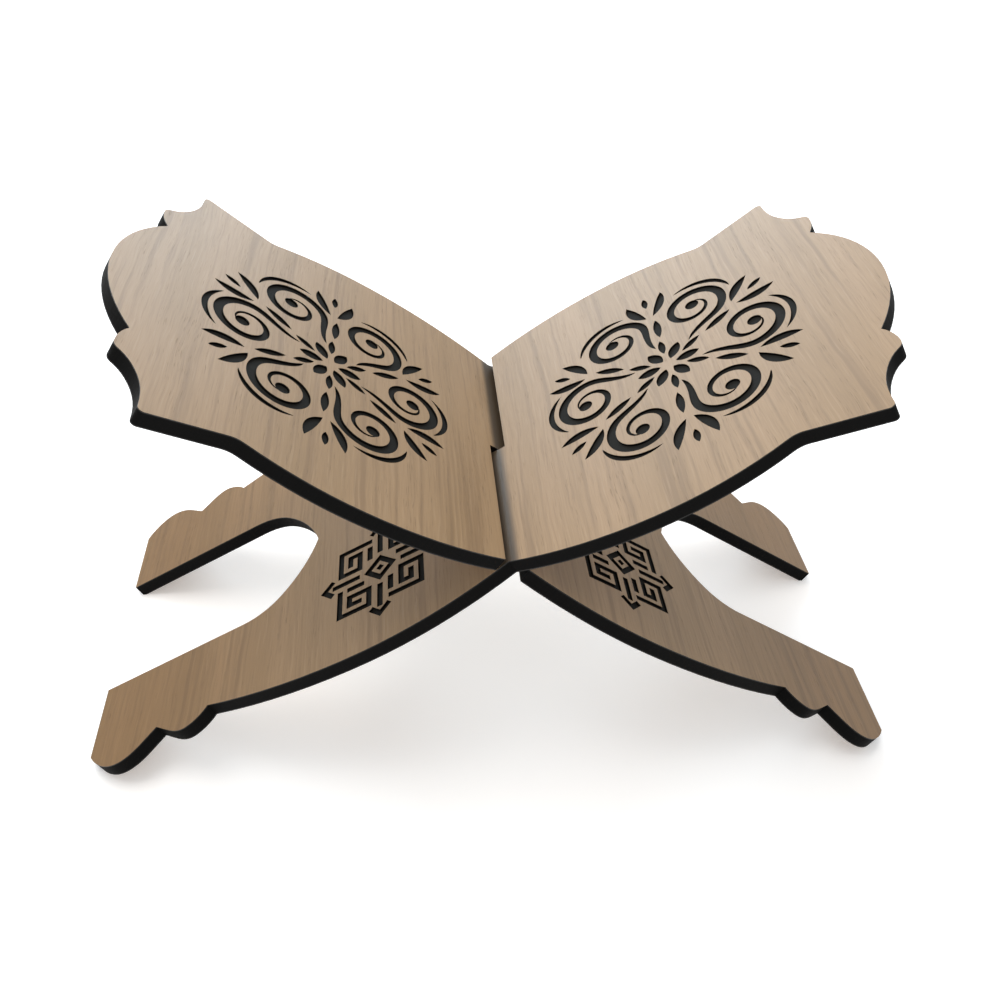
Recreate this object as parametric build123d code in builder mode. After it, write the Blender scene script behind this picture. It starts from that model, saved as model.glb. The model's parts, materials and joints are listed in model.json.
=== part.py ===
"""Folding book stand (rahle): two veneered boards with shaped outlines, slotted into each other like an X.

Millimetres, +Z up. The origin is on the floor under the crossing, X runs across the opening of the
stand and Y along the fold line. Both boards are the same piece, one turned half a turn about Z. A board
is laid out in its own plane: u runs up its slope from the crossing, v runs across it along the fold
line, and its top face is the one that carries a book. Each board is an MDF core between two veneers,
and its ornament is engraved through the top veneer into the core.
"""
import os
from math import atan2, cos, degrees, log, pi, radians, sin, sqrt

from build123d import *

os.makedirs("parts", exist_ok=True)

# ---- driving dimensions ----
board_thickness = 9.4
veneer_thickness = 0.7
engraving_into_core = 0.7  # how far the engraving goes on below the top veneer
board_slope = 31.4  # degrees from the floor, each board, standing open
foot_reach = 291.0  # u from the crossing down to the square-cut foot end
foot_flat_height = 1.0  # how much of each foot's lower arris is sanded off to stand flat
slot_width = 16.4
slot_clearance = 0.75  # each slot runs this far past the middle of its board

# ---- board outline, as (u, v) on one side of the centre line ----
# upper half: waist at the crossing, cradle side, shoulder, ear, horn, notch and end lobe
waist = (0, 105.3)
cradle_side = (50, 119.2)
cradle_widest = (95, 122.9)
shoulder = (166.2, 110.4)
shoulder_radius = 14.0
ear = (214.8, 124.6)
ear_radius = 3.0
ear_flank = [(216.5, 105), (222, 92.5), (230, 84)]
horn = (234.7, 77)
notch = (230, 61.5)
crown = (251.5, 0)
crown_radius = 97.0

# lower half: leg side, scallop, foot lobe, and the pointed arch between the legs
leg_side = (-50, 118.3)
leg_widest = (-95, 122.1)
scallop_start = (-203, 107)
scallop = [(-212, 114.8), (-220, 117), (-230, 113)]
scallop_end = (-241, 105)
foot_lobe = [(-250, 112.5), (-260, 118.8), (-270, 120.3), (-282, 115)]
foot_corner = (-foot_reach, 105)
leg_inner_edge = 49.7
arch_shoulder = (-184, leg_inner_edge)
arch_flank = (-156, 39.2)
arch_point = (-130.5, 0)

# ---- scroll medallion, engraved on the cradle half: scrolls round a flower, with leaves between them ----
medallion_centre = (120, 0)
scroll_count = 6
scroll_centre = (53, 0)
scroll_radii = (21.5, 6.0)
scroll_turn = (-140, 390)  # degrees round the scroll's centre, from its stem to its bud
scroll_stem = [(20, -7.5), (28.5, -9.5)]
scroll_width = 6.0
scroll_widest = 0.4  # share of the stroke's length at which it is widest
stroke_fullness = 0.7  # below 1, a stroke stays broad for longer before it tapers off
bud_place = (2.8, 20)  # radius and degrees from the scroll's centre
bud_radius = 4.4
sheath_radii = (26.5, 24.5)  # round the scroll's centre, a crescent outside the scroll
sheath_turn = (-52, 48)
sheath_width = 3.8
sheath_widest = 0.5
petal = (5, 20, 3.6)  # near and far end from the medallion's centre, and how far each side bulges
sepal = (12, 27, 2.3)
sprig = (31, 52, 2.6)
sprig_lean = 2.5  # degrees that the sprig stands back from the next stem
seed = (70, 82, 2.1)
twin_leaf_reach = (58, 82)
twin_leaf_spread = (2.2, 8.5)  # degrees from the line between two scrolls, at the base and at the tip
twin_leaf_bulges = (5.2, 1.2)  # side towards the scroll, side towards its twin

# ---- key-pattern star, engraved on each side of the leg half: bars of one width, turned four times ----
star_centre = (-83, 58)
star_half_side = 30.0
bar_width = 3.8
bar_pitch = 6.8
tip_arm = 5.0
spoke = (16.2, 32.0)  # near and far end from the star's centre
stub_start = 13.0
star_ring = 8.7

core_half = board_thickness / 2 - veneer_thickness
crossing_height = (
    foot_reach * sin(radians(board_slope))
    + board_thickness / 2 * cos(radians(board_slope))
    - foot_flat_height
)


def board_plane(side):
    """The middle plane of one board: side is 1 for the right board and -1 for the left one."""
    slope = radians(board_slope)
    return Plane(
        origin=(0, 0, crossing_height),
        x_dir=(side * cos(slope), 0, sin(slope)),
        z_dir=(-side * sin(slope), 0, cos(slope)),
    )


def polar(radius, degrees, centre=(0, 0)):
    """The point at a radius and an angle from a centre."""
    return (centre[0] + radius * cos(radians(degrees)), centre[1] + radius * sin(radians(degrees)))


def spiral(centre, radii, turn, steps=14):
    """Points along a spiral whose radius changes evenly from the first to the second."""
    points = []
    for step in range(steps + 1):
        share = step / steps
        radius = radii[0] + (radii[1] - radii[0]) * share
        points.append(polar(radius, turn[0] + (turn[1] - turn[0]) * share, centre))
    return points


def pen_stroke(points, width, widest, steps=28):
    """A stroke through the points, drawn out to a point at both ends."""
    with BuildLine(mode=Mode.PRIVATE):
        path = Spline(*points)
    skew = log(0.5) / log(widest)
    left = []
    right = []
    for step in range(steps + 1):
        share = step / steps
        half = width / 2 * sin(pi * share**skew) ** stroke_fullness
        across = (path % share).rotate(Axis.Z, 90) * half
        left.append(path @ share + across)
        right.append(path @ share - across)
    with BuildLine() as sides:
        Spline(*left)
        Spline(*right)
    make_face(sides.edges())


def leaf(base, tip, left_bulge, right_bulge):
    """A leaf between two points, each side an arc that stands this far off the line between them."""
    with BuildLine() as sides:
        SagittaArc(base, tip, left_bulge)
        SagittaArc(base, tip, -right_bulge)
    make_face(sides.edges())


def bars(*corners):
    """Square-ended bars along a run of corners."""
    for start, end in zip(corners, corners[1:]):
        run = Vector(*end) - Vector(*start)
        with Locations((Vector(*start) + Vector(*end)) / 2):
            Rectangle(run.length + bar_width, bar_width, rotation=degrees(atan2(run.Y, run.X)))


# ---- board outline ----
with BuildSketch() as board_outline:
    with BuildLine():
        ThreePointArc(waist, cradle_side, cradle_widest)
        TangentArc(cradle_widest, shoulder, tangent=(1, 0))
        Line(shoulder, ear)
        Spline(ear, *ear_flank, horn, tangents=[(0, -1), (0, -1)])
        TangentArc(horn, notch, tangent=(0, -1))
        RadiusArc(notch, crown, crown_radius)
        ThreePointArc(waist, leg_side, leg_widest)
        TangentArc(leg_widest, scallop_start, tangent=(-1, 0))
        Spline(scallop_start, *scallop, scallop_end)
        Spline(scallop_end, *foot_lobe, foot_corner)
        Line(foot_corner, (-foot_reach, leg_inner_edge))
        Line((-foot_reach, leg_inner_edge), arch_shoulder)
        to_flank = TangentArc(arch_shoulder, arch_flank, tangent=(1, 0))
        TangentArc(arch_flank, arch_point, tangent=to_flank % 1)
        mirror(about=Plane.XZ)
    make_face()
    shoulders = board_outline.vertices().filter_by_position(Axis.X, shoulder[0] - 1, shoulder[0] + 1)
    fillet(shoulders, radius=shoulder_radius)
    ears = board_outline.vertices().filter_by_position(Axis.X, ear[0] - 1, ear[0] + 1)
    fillet(ears, radius=ear_radius)
    with Locations((0, -slot_clearance)):
        Rectangle(slot_width, crown[0], align=(Align.CENTER, Align.MIN), mode=Mode.SUBTRACT)

# ---- one sector of the medallion ----
between = 180 / scroll_count  # degrees from a scroll to the line between it and the next
with BuildSketch() as scroll_sector:
    pen_stroke(scroll_stem + spiral(scroll_centre, scroll_radii, scroll_turn), scroll_width, scroll_widest)
    pen_stroke(spiral(scroll_centre, sheath_radii, sheath_turn), sheath_width, sheath_widest)
    leaf_places = ((petal, 0), (sepal, between), (sprig, between - sprig_lean), (seed, between))
    with Locations(polar(*bud_place, scroll_centre)):
        Circle(bud_radius)
    for (near, far, bulge), angle in leaf_places:
        leaf(polar(near, angle), polar(far, angle), bulge, bulge)
    wide, narrow = twin_leaf_bulges
    for turn, bulges in ((-1, (narrow, wide)), (1, (wide, narrow))):
        ends = [
            polar(reach, between + turn * spread)
            for reach, spread in zip(twin_leaf_reach, twin_leaf_spread)
        ]
        leaf(*ends, *bulges)

# ---- one quarter of the star ----
first = star_half_side - bar_width / 2
second = first - bar_pitch
third = second - bar_pitch
fourth = third - bar_pitch
tip = sqrt(2) * first
with BuildSketch() as star_quarter:
    bars((first, fourth), (first, first), (fourth, first), (fourth, third), (second, third))
    bars((second, third), (second, second), (third, second))
    bars((tip - tip_arm, tip_arm), (tip, 0), (tip - tip_arm, -tip_arm))
    bars((spoke[0], 0), (spoke[1], 0))
    bars((stub_start, third / 2), (second, third / 2))
    bars((star_ring, 0), (0, star_ring))

with BuildSketch() as ornament:
    with Locations(medallion_centre):
        with PolarLocations(0, scroll_count):
            add(scroll_sector.sketch)
    with Locations(star_centre, (star_centre[0], -star_centre[1])):
        Rectangle(bar_width, bar_width, rotation=45)
        with PolarLocations(0, 4):
            add(star_quarter.sketch)

# ---- the two boards: core, top veneer and underside veneer of each ----
for side, board in ((1, "right_board"), (-1, "left_board")):
    middle = board_plane(side)

    with BuildPart() as core:
        with BuildSketch(middle):
            add(board_outline.sketch)
        extrude(amount=core_half, both=True)
        with BuildSketch(middle.offset(core_half)):
            add(ornament.sketch)
        extrude(amount=-engraving_into_core, mode=Mode.SUBTRACT)
        split(bisect_by=Plane.XY, keep=Keep.TOP)
    core.part.label = f"{board}_core"
    export_step(core.part, f"parts/{board}_core.step")

    with BuildPart() as top_veneer:
        with BuildSketch(middle.offset(core_half)):
            add(board_outline.sketch)
            add(ornament.sketch, mode=Mode.SUBTRACT)
        extrude(amount=veneer_thickness)
    top_veneer.part.label = f"{board}_top_veneer"
    export_step(top_veneer.part, f"parts/{board}_top_veneer.step")

    with BuildPart() as underside_veneer:
        with BuildSketch(middle.offset(-core_half)):
            add(board_outline.sketch)
        extrude(amount=-veneer_thickness)
        split(bisect_by=Plane.XY, keep=Keep.TOP)
    underside_veneer.part.label = f"{board}_underside_veneer"
    export_step(underside_veneer.part, f"parts/{board}_underside_veneer.step")
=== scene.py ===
"""Looks for the folding book stand: oak veneer, scorched board edges, studio light and camera.

The stand keeps its CAD pieces. This script gives each one its material, worked out in the plane of its
own board, and builds the floor, the lights and the camera. Lengths are in metres, +Z up.
"""
import json
from math import cos, pi, radians, sin

import bpy
from mathutils import Matrix, Vector

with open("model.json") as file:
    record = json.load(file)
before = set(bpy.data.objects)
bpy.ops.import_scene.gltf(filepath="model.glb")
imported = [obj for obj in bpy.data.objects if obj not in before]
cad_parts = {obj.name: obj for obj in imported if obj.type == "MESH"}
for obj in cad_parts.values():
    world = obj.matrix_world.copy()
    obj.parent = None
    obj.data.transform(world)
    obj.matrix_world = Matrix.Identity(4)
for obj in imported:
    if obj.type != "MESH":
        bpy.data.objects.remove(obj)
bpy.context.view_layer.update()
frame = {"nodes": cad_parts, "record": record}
nodes = frame["nodes"]
joint = frame["record"]["behaviour"]["joints"][0]
crossing = Vector(joint["pos_m"])

BOARD_SLOPE = radians(31.4)
SIDES = {"right_board": 1, "left_board": -1}

# ---- oak veneer ----
# Noise that bends the grain: stretch per metre on each axis, detail, and how far it moves the grain.
GRAIN_BENDS = (
    ((9, 4, 0), 2.0, 0.010),
    ((34, 30, 0), 1.0, 0.0024),
)
# Layers of the grain: stretch per metre across it, along it and out of it, detail, roughness.
GRAIN_LAYERS = {
    "figure": ((24, 1.6, 0), 3.0, 0.55),
    "rings": ((300, 7, 0), 3.0, 0.6),
    "lines": ((210, 3.2, 0), 1.0, 0.5),
    "streaks": ((640, 22, 0), 2.0, 0.55),
    "fibre": ((1900, 60, 0), 2.0, 0.6),
    "pores": ((2500, 85, 0), 1.0, 0.5),
}
OAK_TONES = ((0.268, 0.174, 0.088, 1), (0.318, 0.208, 0.112, 1))
TONE_RANGE = (0.32, 0.68)  # of the figure
# Tints laid over the oak in turn: layer, its range, the tint's share at either end of it, colour.
GRAIN_TINTS = (
    ("lines", (0.50, 0.72), (0.0, 0.62), (0.190, 0.118, 0.060, 1)),
    ("rings", (0.50, 0.72), (0.0, 0.34), (0.205, 0.130, 0.066, 1)),
    ("streaks", (0.52, 0.72), (0.0, 0.32), (0.172, 0.108, 0.058, 1)),
    ("streaks", (0.28, 0.46), (0.26, 0.0), (0.385, 0.272, 0.166, 1)),
    ("fibre", (0.30, 0.70), (0.0, 0.22), (0.200, 0.132, 0.078, 1)),
)
PORE_RANGE = (0.60, 0.72)
PORE_ZONE = (0.45, 0.62)  # pores show only where the rings are dark
PORE_SHARE = 0.45
PORE_COLOUR = (0.085, 0.052, 0.028, 1)
LEG_SHADE_SPAN = (-0.27, -0.08)  # up the slope from the crossing; painted shade, the leg darkest and brownest at the first
LEG_SHADE_TINT = (0.67, 0.57, 0.40, 1)
FOLD_SHADE_SPAN = (0.0030, 0.0082)  # from the crossing line; painted shade in the crease where the other board crosses
FOLD_SHADE_SHARE = 0.88
FOLD_SHADE = (0.030, 0.021, 0.013, 1)
FOLD_SHADE_END = 0.001  # half the width over which the painted shade stops at the middle of the board
OAK_GLOSS = {"Specular IOR Level": 0.30}
OAK_ROUGHNESS = (0.38, 0.12, 0.15)  # bare, added by the fibre, added by the pores
OAK_RELIEF = (0.5, -0.8)  # height of the fibre and of the pores
OAK_BUMP = {"Strength": 0.22, "Distance": 0.00012}
# Shifts of the grain that give every board and every side of it a sheet of its own.
BOARD_SHIFT = (3.7, 1.9)
LAYER_SHIFTS = {"top_veneer": 0.0, "underside_veneer": 5.3}

# ---- scorched board ----
SCORCH = (0.006, 0.005, 0.004, 1)
FACE_RANGE = (0.35, 0.75)  # how squarely a surface faces out of the board: cut edge to face
EDGE_TONES = ((0.0020, 0.0020, 0.0020, 1), (0.0065, 0.0062, 0.0060, 1))
ENGRAVING_TONES = ((0.0090, 0.0088, 0.0080, 1), (0.0210, 0.0205, 0.0185, 1))
EDGE_STRETCH = (900, 900, 30)
RASTER_STRETCH = (40, 3600, 0)  # the laser's fine passes over an engraving floor
FUZZ_SCALE = 1400.0
BOARD_GLOSS = {"Specular IOR Level": 0.04}
BOARD_ROUGHNESS = (0.52, 0.25)  # bare, added by the streaks
BOARD_RELIEF = (0.7, 0.3)  # height of the streaks and of the fuzz
BOARD_BUMP = {"Strength": 0.5, "Distance": 0.0002}

# ---- floor ----
FLOOR_SIZE = 8.0
FLOOR_TONES = (0.9154, 0.92)  # darkest and palest of a faint mottle
MOTTLE_SCALE = 3.0
FLOOR_ROUGHNESS = 0.8
FLOOR_GLOW = 0.28  # keeps the stand's shadow faint


# ---- shader helpers ----
class Shader:
    """A material under construction; add() makes a node from constants and from the sockets that feed it."""

    def __init__(self, name):
        self.material = bpy.data.materials.new(name)
        self.material.use_nodes = True
        self.tree = self.material.node_tree
        self.tree.nodes.clear()

    def add(self, kind, inputs=None, **settings):
        node = self.tree.nodes.new("ShaderNode" + kind)
        for key, value in settings.items():
            setattr(node, key, value)
        for key, value in (inputs or {}).items():
            socket = node.inputs[key]
            if isinstance(value, bpy.types.NodeSocket):
                self.tree.links.new(value, socket)
            else:
                socket.default_value = value
        return node

    def math(self, operation, *values):
        return self.add("Math", dict(enumerate(values)), operation=operation).outputs[0]

    def mix(self, share, first, second, blend="MIX"):
        """Mixes two colours."""
        node = self.add("Mix", data_type="RGBA", blend_type=blend)
        for index, value in ((0, share), (6, first), (7, second)):
            if isinstance(value, bpy.types.NodeSocket):
                self.tree.links.new(value, node.inputs[index])
            else:
                node.inputs[index].default_value = value
        return node.outputs[2]

    def band(self, value, low, high, to_low=0.0, to_high=1.0):
        """Maps a value smoothly from between low and high to between to_low and to_high."""
        inputs = {"Value": value, "From Min": low, "From Max": high, "To Min": to_low, "To Max": to_high}
        return self.add("MapRange", inputs, interpolation_type="SMOOTHSTEP").outputs["Result"]

    def noise(self, vector, scale, detail, roughness=0.5):
        inputs = {"Vector": vector, "Scale": scale, "Detail": detail, "Roughness": roughness}
        return self.add("TexNoise", inputs).outputs["Fac"]

    def stretched(self, vector, factors, shift=(0, 0, 0)):
        """Scales a position by a factor on each axis."""
        inputs = {"Vector": vector, "Scale": factors, "Location": shift}
        return self.add("Mapping", inputs).outputs["Vector"]

    def finish(self, surface):
        output = self.add("OutputMaterial")
        self.tree.links.new(surface.outputs[0], output.inputs["Surface"])
        return self.material


def board_coordinates(shader, board):
    """A position and a normal in the board's plane: x up its slope, y along the fold line, z out of it."""
    angle = BOARD_SLOPE if SIDES[board] > 0 else pi - BOARD_SLOPE
    raw = shader.add("TexCoord")
    centre = shader.add("VectorMath", {0: raw.outputs["Object"], 1: crossing}, operation="SUBTRACT")
    turned = []
    for vector in (centre.outputs[0], raw.outputs["Normal"]):
        node = shader.add("VectorRotate", {"Vector": vector, "Angle": angle}, rotation_type="Y_AXIS")
        turned.append(node.outputs[0])
    return turned


def face_share(shader, facing):
    """1 on the board's faces and 0 on its cut edges."""
    out_of_plane = shader.math("ABSOLUTE", shader.add("SeparateXYZ", {0: facing}).outputs["Z"])
    return shader.band(out_of_plane, *FACE_RANGE)


def weighted(shader, base, *pairs):
    """A base plus some values, each times its weight."""
    total = base
    for value, weight in pairs:
        total = shader.math("ADD", total, shader.math("MULTIPLY", value, weight))
    return total


def gray(value):
    return (value, value, value, 1.0)


# ---- materials ----
def oak_veneer(name, board, shift):
    """Pale satin oak, grain along the fold line, scorched cut edges; painted shade down the leg and at the
    fold.
    """
    shader = Shader(name)
    spot, facing = board_coordinates(shader, board)
    place = shader.add("SeparateXYZ", {0: spot})
    up_slope, along_fold = place.outputs["X"], place.outputs["Y"]

    across = up_slope
    for stretch, detail, reach in GRAIN_BENDS:
        bend = shader.noise(shader.stretched(spot, stretch, shift), 1.0, detail=detail)
        bend = shader.math("MULTIPLY", shader.math("SUBTRACT", bend, 0.5), reach)
        across = shader.math("ADD", across, bend)
    grain_spot = shader.add("CombineXYZ", {0: across, 1: along_fold, 2: 0.0}).outputs[0]
    grain = {}
    for layer, (stretch, detail, roughness) in GRAIN_LAYERS.items():
        vector = shader.stretched(grain_spot, stretch, shift)
        grain[layer] = shader.noise(vector, 1.0, detail=detail, roughness=roughness)
    pore_zone = shader.band(grain["rings"], *PORE_ZONE)
    pore = shader.math("MULTIPLY", shader.band(grain["pores"], *PORE_RANGE), pore_zone)

    wood = shader.mix(shader.band(grain["figure"], *TONE_RANGE), *OAK_TONES)
    for layer, span, shares, tint in GRAIN_TINTS:
        wood = shader.mix(shader.band(grain[layer], *span, *shares), wood, tint)
    wood = shader.mix(shader.math("MULTIPLY", pore, PORE_SHARE), wood, PORE_COLOUR)

    # painted shade: the oak darker and browner down the leg, towards the feet
    leg_shade = shader.band(up_slope, *LEG_SHADE_SPAN, 1.0, 0.0)
    wood = shader.mix(leg_shade, wood, LEG_SHADE_TINT, blend="MULTIPLY")

    # painted shade along the fold, on the half of the board that runs on past the crossing
    near_fold = shader.band(shader.math("ABSOLUTE", up_slope), *FOLD_SHADE_SPAN, FOLD_SHADE_SHARE, 0.0)
    on_web = shader.band(shader.math("MULTIPLY", along_fold, -SIDES[board]), -FOLD_SHADE_END, FOLD_SHADE_END)
    wood = shader.mix(shader.math("MULTIPLY", near_fold, on_web), wood, FOLD_SHADE)
    colour = shader.mix(face_share(shader, facing), SCORCH, wood)

    fibre_height, pore_height = OAK_RELIEF
    relief = weighted(shader, 0.0, (grain["fibre"], fibre_height), (pore, pore_height))
    bump = shader.add("Bump", {"Height": relief, **OAK_BUMP})
    bare, by_fibre, by_pore = OAK_ROUGHNESS
    roughness = weighted(shader, bare, (grain["fibre"], by_fibre), (pore, by_pore))
    surface = shader.add("BsdfPrincipled", {"Base Color": colour, "Roughness": roughness,
                                            "Normal": bump.outputs[0], **OAK_GLOSS})
    return shader.finish(surface)


def scorched_board(name, board):
    """Black-dyed board: near-black edges finely streaked through the thickness, charcoal engraving."""
    shader = Shader(name)
    spot, facing = board_coordinates(shader, board)
    streaks = shader.noise(shader.stretched(spot, EDGE_STRETCH), 1.0, detail=3.0, roughness=0.6)
    fuzz = shader.noise(spot, FUZZ_SCALE, detail=2.0)
    raster = shader.noise(shader.stretched(spot, RASTER_STRETCH), 1.0, detail=2.0)
    edge_colour = shader.mix(streaks, *EDGE_TONES)
    floor_colour = shader.mix(raster, *ENGRAVING_TONES)
    colour = shader.mix(face_share(shader, facing), edge_colour, floor_colour)

    streak_height, fuzz_height = BOARD_RELIEF
    relief = weighted(shader, 0.0, (streaks, streak_height), (fuzz, fuzz_height))
    bump = shader.add("Bump", {"Height": relief, **BOARD_BUMP})
    bare, by_streaks = BOARD_ROUGHNESS
    roughness = weighted(shader, bare, (streaks, by_streaks))
    surface = shader.add("BsdfPrincipled", {"Base Color": colour, "Roughness": roughness,
                                            "Normal": bump.outputs[0], **BOARD_GLOSS})
    return shader.finish(surface)


def floor_white(name):
    """The floor's plain white, with a faint mottle and a slight glow."""
    shader = Shader(name)
    raw = shader.add("TexCoord")
    mottle = shader.noise(raw.outputs["Object"], MOTTLE_SCALE, detail=3.0)
    tone = shader.mix(mottle, *(gray(value) for value in FLOOR_TONES))
    surface = shader.add("BsdfPrincipled", {"Base Color": tone, "Roughness": FLOOR_ROUGHNESS,
                                            "Specular IOR Level": 0.1, "Emission Color": gray(1.0),
                                            "Emission Strength": FLOOR_GLOW})
    return shader.finish(surface)


for number, board in enumerate(SIDES):
    core_look = scorched_board(f"{board}_scorched_board", board)
    nodes[f"{board}_core"].material_slots[0].material = core_look
    for layer, offset in LAYER_SHIFTS.items():
        shift = (number * BOARD_SHIFT[0] + offset, number * BOARD_SHIFT[1] + offset, 0)
        look = oak_veneer(f"{board}_{layer}_oak", board, shift)
        nodes[f"{board}_{layer}"].material_slots[0].material = look


# ---- floor under the stand ----
bpy.ops.mesh.primitive_plane_add(size=FLOOR_SIZE, location=(0, 0, 0))
floor = bpy.context.object
floor.name = "floor"
floor.data.materials.append(floor_white("floor_white"))


# ---- light ----
STAND_MIDDLE = Vector((0, 0, 0.15))


def area_light(name, position, size, power, colour):
    """A rectangular light that faces the middle of the stand."""
    data = bpy.data.lights.new(name, "AREA")
    data.color = colour
    data.shape = "RECTANGLE"
    data.size, data.size_y = size
    data.energy = power
    light = bpy.data.objects.new(name, data)
    light.location = position
    light.rotation_euler = (STAND_MIDDLE - Vector(position)).to_track_quat("-Z", "Y").to_euler()
    bpy.context.scene.collection.objects.link(light)


area_light("key", position=(-0.7, 0.5, 2.4), size=(2.2, 2.2), power=45, colour=(1.0, 0.97, 0.93))
area_light("back_sheen", position=(-0.2, 2.3, 1.1), size=(2.1, 0.5), power=44, colour=(0.74, 0.89, 1.0))

world = bpy.data.worlds.new("studio")
world.use_nodes = True
background = world.node_tree.nodes["Background"]
background.inputs["Color"].default_value = (1.0, 1.0, 1.0, 1.0)
background.inputs["Strength"].default_value = 0.70
bpy.context.scene.world = world
bpy.context.scene.view_settings.view_transform = "Standard"

# ---- camera ----
CAMERA_POSITION = Vector((-0.0641, -0.5589, 0.5493))
CAMERA_DOWN = radians(37.31)
CAMERA_YAW = radians(6.91)
CAMERA_ROLL = radians(3.41)
CAMERA_LENS = 39.49

ahead = Vector((sin(CAMERA_YAW) * cos(CAMERA_DOWN), cos(CAMERA_YAW) * cos(CAMERA_DOWN), -sin(CAMERA_DOWN)))
level = Vector((cos(CAMERA_YAW), -sin(CAMERA_YAW), 0))
above = level.cross(ahead)
across_view = cos(CAMERA_ROLL) * level + sin(CAMERA_ROLL) * above
up_view = cos(CAMERA_ROLL) * above - sin(CAMERA_ROLL) * level

camera_data = bpy.data.cameras.new("camera")
camera_data.lens = CAMERA_LENS
camera = bpy.data.objects.new("camera", camera_data)
camera.rotation_euler = Matrix((across_view, up_view, -ahead)).transposed().to_euler()
camera.location = CAMERA_POSITION
bpy.context.scene.collection.objects.link(camera)
bpy.context.scene.camera = camera
